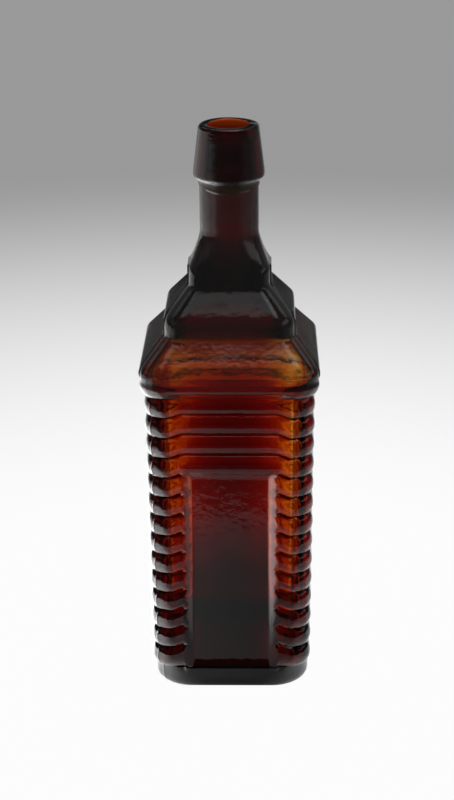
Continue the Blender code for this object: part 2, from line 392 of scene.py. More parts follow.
def base_levels():
    """From the push-up out to the groove under the lowest log."""
    levels = []
    for s, c in quarter(PUSH_UP_STEPS)[1:]:
        levels.append(even(PUSH_UP_HEIGHT * c, PUSH_UP_HALF * s, PUSH_UP_HALF * s))
    for s, c in quarter(HEEL_STEPS):
        levels.append(even(HEEL_RADIUS * (1 - c), mix(BASE_HALF, HEEL_HALF, s), HEEL_CORNER))
    groove = WALL_HALF_LOW - LOG_RELIEF
    for s, c in quarter(HEEL_STEPS)[1:-1]:
        corner = mix(HEEL_CORNER, WALL_CORNER, 1 - c)
        levels.append(even(mix(HEEL_RADIUS, HEEL_HEIGHT, s), mix(groove, HEEL_HALF, c), corner))
    return levels


def wall_levels():
    """The walls at the depth of the grooves, with most levels close to the grooves."""
    levels = []
    for log in range(LOG_COUNT):
        for step in range(LOG_STEPS):
            share = (log + (1 - math.cos(math.pi * step / LOG_STEPS)) / 2) / LOG_COUNT
            half = mix(WALL_HALF_LOW, WALL_HALF_HIGH, share) - LOG_RELIEF
            levels.append(even(mix(HEEL_HEIGHT, WALL_TOP, share), half, WALL_CORNER - LOG_RELIEF))
    levels.append(even(WALL_TOP, WALL_HALF_HIGH - LOG_RELIEF, WALL_CORNER - LOG_RELIEF))
    return levels


print(f"levels: {len(base_levels())} in the base, {len(wall_levels())} in the walls")

# %% [markdown]
# ## Eave, roof and neck
#
# The eave is a rounded ledge over the walls. Above it the roof goes up in two slopes
# with upright risers. The top tier leans back and turns from a square into the round
# neck in one long curve. At its cut end, inside the collar, it turns into the bore.

# %% Draw the eave, roof and neck
EAVE_STEPS = 20
EAVE_FRONT_CORNER = 0.0105
EAVE_SIDE_CORNER = 0.0095
EDGE_ROUND = 0.0030
FOLD_ROUND = 0.0010
RIB_STEP = 0.0020
TOP_FRONT_CORNER = 0.0058
TOP_SIDE_CORNER = 0.0110
TIERS = [
    (EAVE_HEIGHT, EAVE_HALF, EAVE_FRONT_CORNER, EAVE_SIDE_CORNER),
    (ROOF_FOOT, EAVE_HALF, EAVE_FRONT_CORNER, EAVE_SIDE_CORNER),
    (ROOF_FOOT + TIER_SLOPE, MIDDLE_HALF, 0.0075, 0.0088),
    (MIDDLE_TIER, MIDDLE_HALF, 0.0082, 0.0105),
    (MIDDLE_TIER + TIER_SLOPE, TOP_HALF, TOP_FRONT_CORNER, 0.0098),
    (ROOF_TOP, TOP_HALF, TOP_FRONT_CORNER, TOP_SIDE_CORNER),
]
FLARE_STEPS = 16
FLARE_POWER = 1.3
LEAN_POWER = 1.15
NECK_STEPS = 12
NECK_END_ROUND = 0.0006


def eave_levels():
    """The rounded underside of the eave."""
    wall = WALL_HALF_HIGH - LOG_RELIEF
    corner = WALL_CORNER - LOG_RELIEF
    levels = []
    for s, c in quarter(EAVE_STEPS)[1:]:
        front, side = mix(corner, EAVE_FRONT_CORNER, s), mix(corner, EAVE_SIDE_CORNER, s)
        levels.append((WALL_TOP + EAVE_UNDERCUT * (1 - c), mix(wall, EAVE_HALF, s), front, side))
    return levels


def roof_levels():
    """The band of the eave and the stepped tiers."""
    path = rounded_path(TIERS, (EDGE_ROUND, FOLD_ROUND, EDGE_ROUND, FOLD_ROUND))
    return with_steps(path, RIB_STEP)[1:]


def narrowed(share, power):
    """Half the top tier's width, this share of the way up to the neck."""
    return mix(NECK_RADIUS, TOP_HALF, (1 - share) ** power)


def flare_levels():
    """The top tier, which turns from the square into the round neck."""
    levels = []
    for i in range(1, FLARE_STEPS + 1):
        t = i / FLARE_STEPS
        radius = narrowed(t, FLARE_POWER)
        front, side = mix(TOP_FRONT_CORNER, radius, t), mix(TOP_SIDE_CORNER, radius, t)
        levels.append((mix(ROOF_TOP, NECK_FOOT, t), radius, front, side))
    return levels


def depth_share(height):
    """How deep the top tier is for its width: its front leans back in one long curve."""
    start = MIDDLE_TIER + TIER_SLOPE
    lean = np.clip((height - start) / (NECK_FOOT - start), 0, 1)
    flare = np.clip((height - ROOF_TOP) / (NECK_FOOT - ROOF_TOP), 0, 1)
    return narrowed(lean, LEAN_POWER) / narrowed(flare, FLARE_POWER)


def neck_levels():
    """The neck up to its cut end and over into the bore."""
    levels = []
    for i in range(1, NECK_STEPS + 1):
        levels.append(even(mix(NECK_FOOT, LIP_FOOT, i / NECK_STEPS), NECK_RADIUS, NECK_RADIUS))
    rounded = NECK_END_RADIUS - NECK_END_ROUND
    levels.append(even(NECK_END - NECK_END_ROUND, NECK_END_RADIUS, NECK_END_RADIUS))
    levels += [even(NECK_END, rounded, rounded), even(NECK_END, BORE_RADIUS, BORE_RADIUS)]
    return levels


print(f"levels: {len(eave_levels())} in the eave, {len(roof_levels())} in the roof")

# %% [markdown]
# ## Logs and grooves
#
# Each log is a shallow arc over its groove, and a narrow cut keeps the groove a crisp
# dark line. On the front and back the rows stand a little higher in the middle than
# at their ends. Rods joined to a box would look alike from afar. Here the logs are a
# height laid on the plain profile, so that the wall stays one piece of glass.

# %% Lay the logs
CUT_DEPTH = 0.0004
CUT_WIDTH = 0.00045
ROW_LIFT = 0.0021
ROW_BEND = (0.0205, 0.0275)


def log_height(height):
    """The arc of the logs over their grooves, with a narrow cut in each groove."""
    row = (height - HEEL_HEIGHT) / LOG_PITCH
    on_wall = (row >= 0) & (row <= LOG_COUNT)
    offset = (2 * (row - np.floor(row)) - 1) * LOG_PITCH / 2
    radius = ((LOG_PITCH / 2) ** 2 + LOG_RELIEF**2) / (2 * LOG_RELIEF)
    arc = np.where(on_wall, np.sqrt(radius**2 - offset**2) - radius + LOG_RELIEF, 0)
    inner = (row > 0.5) & (row < LOG_COUNT - 0.5)
    cut = CUT_DEPTH * np.exp(-(((row - np.round(row)) * LOG_PITCH / CUT_WIDTH) ** 2))
    return arc - np.where(inner, cut, 0)


def row_lift(height, face, across):
    """How far the middle of the front and back rows stands above their ends."""
    row = (height - HEEL_HEIGHT) / LOG_PITCH
    in_rows = np.clip(row, 0, 1) * np.clip(LOG_COUNT - row, 0, 1)
    in_middle = 1 - smooth(np.abs(across), *ROW_BEND)
    return ROW_LIFT * in_rows * in_middle * (face % 2 == 0)


print(f"{LOG_COUNT} logs, each {1000 * LOG_PITCH:.2f} mm high")

# %% [markdown]
# ## The label panel
#
# Front and back have a sunk panel with a slightly sagging floor, sloped sides and a
# plain frame that stops the logs. A boolean could carve it. Here the lower of the two
# surfaces wins, with a soft join, which gives that shape on the ring's own points.

# %% Sink the panels
PANEL_SOFT = 0.0004
PANEL_SAG = 0.0006
FOOT_BOTTOM = 0.0105
FOOT_PROUD = 0.0003
FOOT_RISE = 0.0015
FRAME_HALF = 0.0203
FRAME_FADE = 0.0016
FRAME_TOP = 0.0040


def framed(height, lift, face, across, log):
    """Round the panel the logs and their grooves give way to a plain frame."""
    foot = FOOT_PROUD * smooth(height, HEEL_RADIUS, FOOT_BOTTOM)
    plain = np.where(height < FOOT_BOTTOM, foot, LOG_RELIEF)
    inside = 1 - smooth(np.abs(across), FRAME_HALF, FRAME_HALF + FRAME_FADE)
    top = PANEL_HEAD + FRAME_TOP
    inside = inside * (1 - smooth(height + lift, top, top + FRAME_FADE)) * (face % 2 == 0)
    return mix(log, plain, inside)


def beyond_panel(height, across):
    """How far a point lies outside the panel's floor."""
    above_or_below = np.maximum(PANEL_FOOT - height, height - PANEL_HEAD)
    return np.maximum(np.abs(across) - PANEL_HALF, above_or_below)


def panel_height(height, face, across):
    """The panel's floor and bevel, as a height over the grooves."""
    middle = (PANEL_FOOT + PANEL_HEAD) / 2
    up = np.clip((height - middle) / (PANEL_HEAD - middle), -1, 1)
    floor = LOG_RELIEF - PANEL_DEPTH - PANEL_SAG * (1 - up**2)
    beside = np.maximum(np.abs(across) - PANEL_HALF, height - PANEL_HEAD)
    level = (LOG_RELIEF - floor) * np.maximum(beside, 0) / PANEL_BEVEL
    below = FOOT_RISE * np.maximum(PANEL_FOOT - height, 0) / (PANEL_FOOT - FOOT_BOTTOM)
    level = floor + np.maximum(level, below)
    return np.where(face % 2 == 0, level, 1.0)


def lower_of(first, second, soft):
    """The lower of two heights, with a soft join."""
    blend = np.clip(0.5 + (second - first) / (2 * soft), 0, 1)
    return second + (first - second) * blend - soft * blend * (1 - blend)


print(f"panels {2000 * PANEL_HALF:.0f} mm wide and {1000 * (PANEL_HEAD - PANEL_FOOT):.0f} mm high")

# %% [markdown]
# ## Eave and thatch
#
# In the middle of each face the eave turns in more sharply than at its corners. The
# roof's sides stand for thatch: each slope is a plate of fine upright ribs, proud of
# the hips beside it. Bump would be cheaper, but glass bends light by its real shape.

# %% Shape the eave and the thatch
EAVE_SHARP = 0.0052
EAVE_SHARP_END = (0.020, 0.029)
PLATE_SINK = 0.0006
PLATE_START = 0.003
PLATE_EDGE_SHARE = 0.016
RIB_DEPTH = 0.0005
RIB_END = 0.001


def square_eave(height, across):
    """In the middle of a face the eave's underside turns in more sharply."""
    below = np.maximum(EAVE_HEIGHT - height, 0)
    round_edge = np.sqrt(1 - np.minimum(below / EAVE_UNDERCUT, 1) ** 2)
    sharp_edge = np.sqrt(1 - np.minimum(below / EAVE_SHARP, 1) ** 4)
    in_middle = 1 - smooth(np.abs(across), *EAVE_SHARP_END)
    wall = WALL_HALF_HIGH - LOG_RELIEF
    return (EAVE_HALF - wall) * (sharp_edge - round_edge) * in_middle * (height > WALL_TOP)


def on_slopes(height):
    """1 on the two ribbed slopes and 0 elsewhere."""
    ends = [(foot, foot + TIER_SLOPE) for foot in (ROOF_FOOT, MIDDLE_TIER)]
    return sum(between(height, (low - RIB_END, low + RIB_END), (high - RIB_END, high)) for low, high in ends)


def thatch(height, face, share, ribs):
    """The ribbed plates on the roof's sides stand proud of the hips between them."""
    edge = np.clip((np.abs(share) - FLAT_SHARE) / PLATE_EDGE_SHARE + 1, 0, 1)
    fall = np.where(face % 2 == 1, 1 - np.sqrt(1 - edge**2), 1)
    on_roof = between(height, (EAVE_HEIGHT - PLATE_START, EAVE_HEIGHT), (ROOF_TOP, NECK_FOOT))
    rib = (1 - np.cos(math.pi * ribs * (share / FLAT_SHARE + 1))) / 2
    return -RIB_DEPTH * rib * on_slopes(height) * (1 - edge) * (face % 2) - PLATE_SINK * on_roof * fall


print(f"ribs {1000 * RIB_DEPTH} mm deep, plates {1000 * PLATE_SINK} mm proud of the hips")

# %% [markdown]
# ## The outside
#
# All the relief is now laid along the outline's own direction, so it stays square to
# the glass at the corners too. Two more marks of the mould come with it: the waves of
# the chilled skin, and a thin fin down two opposite corners where its halves met.

# %% Lay out the outside
OUTSIDE_WAVE = 0.00010
OUTSIDE_WAVE_SIZE = 0.011
OUTSIDE_SEED = 5
SKIN_WAVE = 0.00003
SKIN_WAVE_SIZE = 0.0035
SKIN_SEED = 7
SEAM_PROUD = 0.00025
SEAM_SHARE = 0.011
SEAM_END = 0.004
CALM_NECK = (LIP_FOOT - 0.012, LIP_FOOT - 0.005)


def seam(height, face, share):
    """The fins where the mould's two halves met, down two opposite corners."""
    from_corner = np.where(face % 2 == 0, share + 1, 1 - share)
    fin = SEAM_PROUD * np.exp(-((from_corner / SEAM_SHARE) ** 2))
    return fin * between(height, (0.0, HEEL_RADIUS), (WALL_TOP - SEAM_END, WALL_TOP))


def ring_grid(levels, ring_columns):
    """Heights, points and directions of plain rings, one row for each level."""
    height, half, front, side = (np.array(v)[:, None] for v in zip(*levels))
    face, share = ring_columns
    across, out, face_across, face_out = outline(half, *corner_of(face, front, side), share[None, :])
    return height + 0 * across, across, out, face_across, face_out


def on_faces(face, across, out):
    """The same lengths across and out as x and y of the bottle."""
    return out[..., None] * FACE_OUT[face] + across[..., None] * FACE_ALONG[face]


def outside_band(levels, ring_columns, ribs=0):
    """Points of the outside for these levels, with all its relief."""
    face, share = ring_columns
    height, across, out, face_across, face_out = ring_grid(levels, ring_columns)
    lift = row_lift(height, face, across)
    log = framed(height, lift, face, across, log_height(height))
    panel = panel_height(height + lift, face, across)
    on_wall = (height > HEEL_HEIGHT - LOG_PITCH / 2) & (height < WALL_TOP)
    relief = np.where(on_wall, lower_of(log, panel, PANEL_SOFT), log) + square_eave(height, across)
    if ribs:
        relief = relief + thatch(height, face, share, ribs)
    else:
        relief = relief + np.where(height > WALL_TOP, thatch(height, face, 0 * share + 1, 1), 0)
    points = np.empty(height.shape + (3,))
    points[..., :2] = on_faces(face, across + relief * face_across, out + relief * face_out)
    points[..., 1] *= depth_share(height)
    points[..., 2] = height + lift
    push = OUTSIDE_WAVE * waves(points, OUTSIDE_WAVE_SIZE, OUTSIDE_SEED)
    push = push + SKIN_WAVE * waves(points, SKIN_WAVE_SIZE, SKIN_SEED)
    push = push * between(height, (0.0, HEEL_RADIUS), CALM_NECK) + seam(height, face, share)
    points[..., :2] += push[..., None] * on_faces(face, face_across, face_out)
    return points, face, share


print(f"skin waves {OUTSIDE_WAVE_SIZE} m and {SKIN_WAVE_SIZE} m long, seam fins {SEAM_PROUD} m proud")

# %% [markdown]
# ## The inside
#
# Nothing shapes the inside but air, so it follows the outside loosely: a plain hollow
# with rounder corners, a bowl of a floor and soft shoulders under the roof's steps.

# %% Draw the inside
CORNER_THICK = 0.0036
FLOOR_THICK = 0.0042
FLOOR_BEND = 0.0050
LOWER_ROOF_THICK = 0.0021
MIDDLE_ROOF_THICK = 0.0058
UPPER_ROOF_THICK = 0.0078
EAVE_SHELF = 0.0004
EAVE_THICK = 0.0025
EAVE_INSIDE_CORNER = 0.0088
INSIDE_CORNER = 0.0062
INSIDE_BENDS = (0.010, 0.006, 0.004, 0.004, 0.006, 0.003)
INSIDE_STEP = 0.003
INSIDE_LOG_STEPS = 6


def inside_roof():
    """From the bore down to the top of the walls."""
    path = [
        even(NECK_END, BORE_RADIUS, BORE_RADIUS),
        even(NECK_FOOT, BORE_RADIUS, BORE_RADIUS),
        even(MIDDLE_TIER + TIER_SLOPE, TOP_HALF - UPPER_ROOF_THICK, INSIDE_CORNER),
        even(MIDDLE_TIER, MIDDLE_HALF - MIDDLE_ROOF_THICK, INSIDE_CORNER),
        even(ROOF_FOOT + TIER_SLOPE, MIDDLE_HALF - LOWER_ROOF_THICK, INSIDE_CORNER),
        even(ROOF_FOOT, EAVE_HALF - LOWER_ROOF_THICK, INSIDE_CORNER),
        even(EAVE_HEIGHT, EAVE_HALF - EAVE_THICK, EAVE_INSIDE_CORNER),
        even(WALL_TOP, WALL_HALF_HIGH - CORNER_THICK - EAVE_SHELF, INSIDE_CORNER),
    ]
    return with_steps(rounded_path(path, INSIDE_BENDS), INSIDE_STEP)[1:]


def inside_levels():
    """From the bore down to the floor."""
    levels = inside_roof()
    wall_high = WALL_HALF_HIGH - CORNER_THICK
    wall_low = WALL_HALF_LOW - CORNER_THICK
    steps = INSIDE_LOG_STEPS * LOG_COUNT
    for i in range(1, steps - INSIDE_LOG_STEPS + 1):
        share = 1 - i / steps
        half = mix(wall_low, wall_high, share)
        levels.append(even(mix(HEEL_HEIGHT, WALL_TOP, share), half, INSIDE_CORNER))
    floor = PUSH_UP_HEIGHT + FLOOR_THICK
    lower = [levels[-1], even(floor + FLOOR_BEND, wall_low, INSIDE_CORNER)]
    lower += [even(floor, wall_low - FLOOR_BEND, INSIDE_CORNER), even(floor, INSIDE_CORNER, INSIDE_CORNER)]
    levels += with_steps(rounded_path(lower, (FLOOR_BEND, FLOOR_BEND)), INSIDE_STEP)[1:]
    return levels


print(f"levels: {len(inside_levels())} on the inside")

# %% [markdown]
# ## How thick the glass is
#
# The glass is thick behind the middle of each face and near the floor, and thin where
# it was drawn out towards the corners and on the right. That sets the colour, since the
# glass is amber all through: thin parts glow orange and thick ones are nearly black.

# %% Set the thickness of the walls
MIDDLE_THICK = 0.0039
THIN_THICK = 0.0011
SIDE_MIDDLE_THICK = 0.0040
SIDE_THIN_THICK = 0.0030
LEFT_THICKER = 0.0004
BELL_END = 0.0250
BELL_SHIFT = -0.0005
TOP_THINNER = 0.6
TOP_THINNER_RISE = (0.105, 0.128)
FOOT_THICK = 0.0045
FOOT_RISE_END = (0.020, 0.066)
FOOT_EDGE_SHARE = 0.3
RIGHT_FOOT_THIN = 0.6
RIGHT_FOOT_START = (0.004, 0.026)


def wall_thickness(height, face, share, across):
    """How thick the glass of the walls is under the crest of a log."""
    on_front = face % 2 == 0
    to_right = np.where(face == 0, 1, -1) * on_front
    bell = np.cos(math.pi / 2 * np.clip((across - BELL_SHIFT * to_right) / BELL_END, -1, 1))
    thin = np.where(on_front, THIN_THICK, SIDE_THIN_THICK)
    middle = np.where(on_front, MIDDLE_THICK, SIDE_MIDDLE_THICK)
    middle = middle * (1 - TOP_THINNER * (face == 2) * smooth(height, *TOP_THINNER_RISE))
    middle = np.maximum(middle, thin)
    right_foot = 1 - RIGHT_FOOT_THIN * smooth(np.abs(across), *RIGHT_FOOT_START)
    foot = 1 - smooth(height, *FOOT_RISE_END)
    foot = foot * np.where(across * to_right > 0, right_foot, 1)
    foot = FOOT_THICK * foot * mix(FOOT_EDGE_SHARE, 1, bell)
    on_face = mix(thin, middle, bell) + foot + LEFT_THICKER * (face == 3)
    to_corner = np.clip((np.abs(share) - FLAT_SHARE) / (1 - FLAT_SHARE), 0, 1)
    return mix(on_face, CORNER_THICK, to_corner)


print(f"glass {1000 * THIN_THICK} mm beside the panel, {1000 * MIDDLE_THICK} mm in its middle")

# %% [markdown]
# ## How the inside follows the logs
#
# While the glass was soft it was pressed into the logs, so a faint wave of them shows
# on the inside as well, most where the wall is thin. Behind the panel there is none,
# and the glass swells inwards a little.

# %% Lay out the inside
MIDDLE_FOLLOW = 0.5
THIN_FOLLOW = 0.75
SIDE_FOLLOW = 0.45
THIN_START = (0.012, 0.022)
SIDE_START = (0.026, 0.031)
IN_WALLS_FOOT = (0.0080, 0.0150)
IN_WALLS_HEAD = (WALL_TOP - 0.006, WALL_TOP + 0.004)
ABOVE_HEEL = (HEEL_HEIGHT + LOG_PITCH, HEEL_HEIGHT + 1.5 * LOG_PITCH)
PANEL_SWELL = 0.0023
PANEL_SWELL_END = (-0.004, 0.006)
PANEL_CLEAR = (0.0030, 0.0055)
RIGHT_THIN = 0.0010
RIGHT_THIN_START = (0.010, 0.024)
LEFT_THIN = 0.0006
LEFT_THIN_START = (0.010, 0.026)
RIGHT_SIDE_THINNER = 0.0010
RIGHT_SIDE_START = (0.024, 0.031)
RIGHT_SIDE_FOOT = (0.022, 0.040)
INSIDE_WAVE = 0.00020
INSIDE_WAVE_SIZE = 0.020
INSIDE_SEED = 11
CALM_BELOW_NECK = 0.01


def soft_log(height):
    """The rows of logs as an even wave, as the inside shows them."""
    row = np.clip((height - HEEL_HEIGHT) / LOG_PITCH, 0, LOG_COUNT)
    return LOG_RELIEF * (1 - np.cos(2 * math.pi * row)) / 2


def log_follow(face, across):
    """How much of the logs' wave shows: least on the sides, most on the back."""
    size = np.abs(across)
    share = mix(MIDDLE_FOLLOW, THIN_FOLLOW, smooth(size, *THIN_START))
    share = np.where(face == 2, THIN_FOLLOW, share)
    share = mix(share, SIDE_FOLLOW, smooth(size, *SIDE_START))
    return np.where(face % 2 == 0, share, SIDE_FOLLOW)


def thinner(height, face, x, in_walls):
    """Where the glass was drawn thinner: the lower roof's ends and the right wall."""
    in_roof = between(height, (WALL_TOP, EAVE_HEIGHT), (ROOF_FOOT + TIER_SLOPE, MIDDLE_TIER))
    roof = RIGHT_THIN * smooth(x, *RIGHT_THIN_START) + LEFT_THIN * smooth(-x, *LEFT_THIN_START)
    wall = RIGHT_SIDE_THINNER * in_walls * smooth(x, *RIGHT_SIDE_START) * smooth(height, *RIGHT_SIDE_FOOT)
    return roof * in_roof * (face % 2 == 0) + wall


def inside_band(levels, ring_columns):
    """Points of the inside for these levels."""
    face, share = ring_columns
    height, across, out, face_across, face_out = ring_grid(levels, ring_columns)
    points = np.empty(height.shape + (3,))
    points[..., :2] = on_faces(face, across, out)
    points[..., 2] = height + row_lift(height, face, across)

    in_walls = between(height, IN_WALLS_FOOT, IN_WALLS_HEAD)
    panel = (1 - smooth(beyond_panel(height, across), *PANEL_SWELL_END)) * (face % 2 == 0)
    thicken = (wall_thickness(height, face, share, across) - CORNER_THICK) * in_walls + PANEL_SWELL * panel
    beside = np.where(face % 2 == 0, smooth(beyond_panel(points[..., 2], across), *PANEL_CLEAR), 1)
    follow = (soft_log(height) - LOG_RELIEF) * beside * smooth(height, *ABOVE_HEEL) * in_walls
    follow = follow * log_follow(face, across)
    calm = 1 - smooth(height, NECK_FOOT - CALM_BELOW_NECK, NECK_FOOT)
    push = calm * INSIDE_WAVE * waves(points, INSIDE_WAVE_SIZE, INSIDE_SEED) + follow
    push = push + thinner(height, face, points[..., 0], in_walls) - thicken
    points[..., :2] += push[..., None] * on_faces(face, face_across, face_out)
    return points, face, share


print(f"the inside shows {MIDDLE_FOLLOW:.0%} to {THIN_FOLLOW:.0%} of the logs on front and back")

# %% [markdown]
# ## The body
#
# Each band of rings has its own columns, closer beside the panel and at the corners,
# and eight to each rib on the thatched sides. Outside and inside are joined over the
# neck's cut end, because a volume of coloured glass needs one closed surface.

# %% Skin the bottle's body
MIDDLE_SHARES = np.linspace(0, 0.4643, 17)
PANEL_SHARES = (0.4857, 0.503, 0.5214, 0.557, 0.5928, 0.6286, 0.646)
END_SHARES = (0.67, 0.6955, 0.721, 0.7465, 0.772, 0.786, FLAT_SHARE)
CORNER_SHARES = np.concatenate([np.linspace(FLAT_SHARE, 1, 9)[1:-1], [0.986, 0.992, 0.996, 1]])
WALL_COLUMNS = columns(np.concatenate([MIDDLE_SHARES, PANEL_SHARES, END_SHARES, CORNER_SHARES]))
INSIDE_SHARES = np.concatenate([np.linspace(0, FLAT_SHARE, 20), np.linspace(FLAT_SHARE, 1, 7)[1:]])
INSIDE_COLUMNS = columns(INSIDE_SHARES)
PLAIN_COLUMNS = 22
PLATE_EDGE_STEPS = np.array([1, 0.6, 0.35, 0.15, 0.04, 0])
LOWER_RIBS = 15
UPPER_RIBS = 11


def rib_columns(ribs):
    """Columns for a thatched tier: eight to each rib on the sides."""
    plain = np.concatenate([np.linspace(0, FLAT_SHARE, PLAIN_COLUMNS), CORNER_SHARES])
    fine = np.linspace(0, FLAT_SHARE, 4 * ribs + 1)
    fine = fine[fine < FLAT_SHARE - 1.5 * PLATE_EDGE_SHARE]
    edge = FLAT_SHARE - PLATE_EDGE_SHARE * PLATE_EDGE_STEPS
    return columns(plain, np.concatenate([fine, edge, CORNER_SHARES]))


def make_body():
    """The glass shell, outside and inside, as one closed mesh."""
    roof = roof_levels()
    split = next(i for i, level in enumerate(roof) if level[0] > MIDDLE_TIER - TIER_RISER / 2)
    bands = [
        outside_band(base_levels() + wall_levels() + eave_levels(), WALL_COLUMNS),
        outside_band(roof[:split], rib_columns(LOWER_RIBS), LOWER_RIBS),
        outside_band(roof[split:], rib_columns(UPPER_RIBS), UPPER_RIBS),
        outside_band(flare_levels() + neck_levels(), WALL_COLUMNS),
        inside_band(inside_levels(), INSIDE_COLUMNS),
    ]
    ends = (0.0, 0.0, PUSH_UP_HEIGHT), (0.0, 0.0, PUSH_UP_HEIGHT + FLOOR_THICK)
    return mesh_object("amber_body", *skin(bands, *ends))


body = make_body()
print(f"body: {len(body.data.polygons)} faces")

# %% [markdown]
# ## The applied collar
#
# The collar was shaped by hand with a jack while the bottle turned, so it is nearly
# round. Its rim is uneven, with a small lump, and its glass ran down the neck in a thin
# skirt. A Screw modifier would make it too perfect, so its profile is turned in code
# and each point is moved as it goes round.

# %% Draw the collar's section
COLLAR_SEAM = 0.00015
COLLAR_SEAT_DROP = 0.0005
BORE_ROUND = 0.0010
RIM_ROUND = 0.0016
FOOT_ROUND = 0.0018
BAND_HEIGHT = 0.0034
SIDE_STEP = 0.002
SKIRT_LENGTH = 0.0045
SKIRT_THICK = 0.0003
SKIRT_HEAD = ((0.0003, 0.0), (0.0001, 0.0002), (0.0, 0.0006))
SKIRT_HEM = ((-0.0001, 0.8 * SKIRT_LENGTH), (0.0, 0.93 * SKIRT_LENGTH))


def collar_profile():
    """Radius and height round the collar's section, from the top of the bore outwards."""
    points = [(BORE_RADIUS + BORE_ROUND * (1 - c), LIP_TOP - BORE_ROUND * (1 - s)) for s, c in quarter(5)]
    points += [(LIP_TOP_RADIUS - RIM_ROUND * (1 - s), LIP_TOP - RIM_ROUND * (1 - c)) for s, c in quarter(6)]
    side = [
        (LIP_TOP_RADIUS, LIP_TOP - RIM_ROUND),
        (LIP_FOOT_RADIUS, LIP_FOOT + BAND_HEIGHT),
        (LIP_FOOT_RADIUS, LIP_FOOT + FOOT_ROUND),
    ]
    points += with_steps([np.array(p) for p in side], SIDE_STEP)[1:]
    for s, c in quarter(6)[1:]:
        points.append((LIP_FOOT_RADIUS - FOOT_ROUND * (1 - c), LIP_FOOT + FOOT_ROUND * (1 - s)))
    seat = NECK_RADIUS + COLLAR_SEAM
    cut_end = NECK_END_RADIUS + COLLAR_SEAM
    points += [(seat + SKIRT_THICK + out, LIP_FOOT - down) for out, down in SKIRT_HEAD + SKIRT_HEM]
    points += [(seat, LIP_FOOT - SKIRT_LENGTH), (seat, LIP_FOOT), (cut_end, NECK_END - COLLAR_SEAT_DROP)]
    points += [(cut_end, NECK_END + COLLAR_SEAM), (BORE_RADIUS, NECK_END + COLLAR_SEAM)]
    return np.array(points)


print(f"collar: {len(collar_profile())} points round its section")

# %% [markdown]
# ## Turning the collar
#
# The marks of the jack are small sums of sines and one soft lump, so the ring closes
# on itself without a step. The skirt runs furthest down at the front.

# %% Turn the collar
COLLAR_COLUMNS = 128
COLLAR_WOBBLE = 0.00015
RIM_WOBBLE = 0.00015
RIM_REACH = 0.006
LUMP_HEIGHT = 0.0007
LUMP_TURN = math.radians(-25)
LUMP_SPREAD = math.radians(13)
SKIRT_SHORTER = 0.7
SKIRT_UNEVEN = 0.06


def make_collar():
    """The collar as a closed ring of glass with the marks of the tool."""
    profile = collar_profile()
    turn = np.arange(COLLAR_COLUMNS) / COLLAR_COLUMNS * math.tau
    radius = profile[:, 0][:, None] + 0 * turn
    height = profile[:, 1][:, None] + 0 * turn
    outer = smooth(radius, NECK_RADIUS, LIP_FOOT_RADIUS)
    wobble = np.sin(2 * turn + 1.0) + 0.6 * np.sin(3 * turn) - 1
    radius = radius + COLLAR_WOBBLE * outer * wobble
    from_lump = (turn - LUMP_TURN + math.pi) % math.tau - math.pi
    rim = RIM_WOBBLE * (np.sin(turn + 0.6) + 0.5 * np.sin(3 * turn + 2.0))
    rim = rim + LUMP_HEIGHT * np.exp(-((from_lump / LUMP_SPREAD) ** 2))
    height = height + rim * smooth(height, LIP_TOP - RIM_REACH, LIP_TOP)
    below = np.clip(LIP_FOOT - height, 0, 1)
    run = SKIRT_SHORTER * ((1 - np.sin(turn)) / 2) ** 2 + SKIRT_UNEVEN * np.sin(turn * 3 + 1.0)
    height = height + below * (SKIRT_SHORTER - run)
    points = np.stack([radius * np.cos(turn), radius * np.sin(turn), height], axis=-1)
    count = len(profile)
    index = np.arange(count * COLLAR_COLUMNS).reshape(count, COLLAR_COLUMNS)
    faces = []
    for i in range(count):
        faces += [face[::-1] for face in quads_between(index[i], index[(i + 1) % count])]
    return mesh_object("tooled_collar", points.reshape(-1, 3), faces)


collar = make_collar()
print(f"collar: {len(collar.data.polygons)} faces")

# %% [markdown]
# ## Recipes for glass and light
#
# In Blender a material is a web of nodes, and so is the light of the room. A few short
# words for the nodes keep their recipes readable. Each recipe works on one kind of
# place: a point on the piece, or a direction in the room.

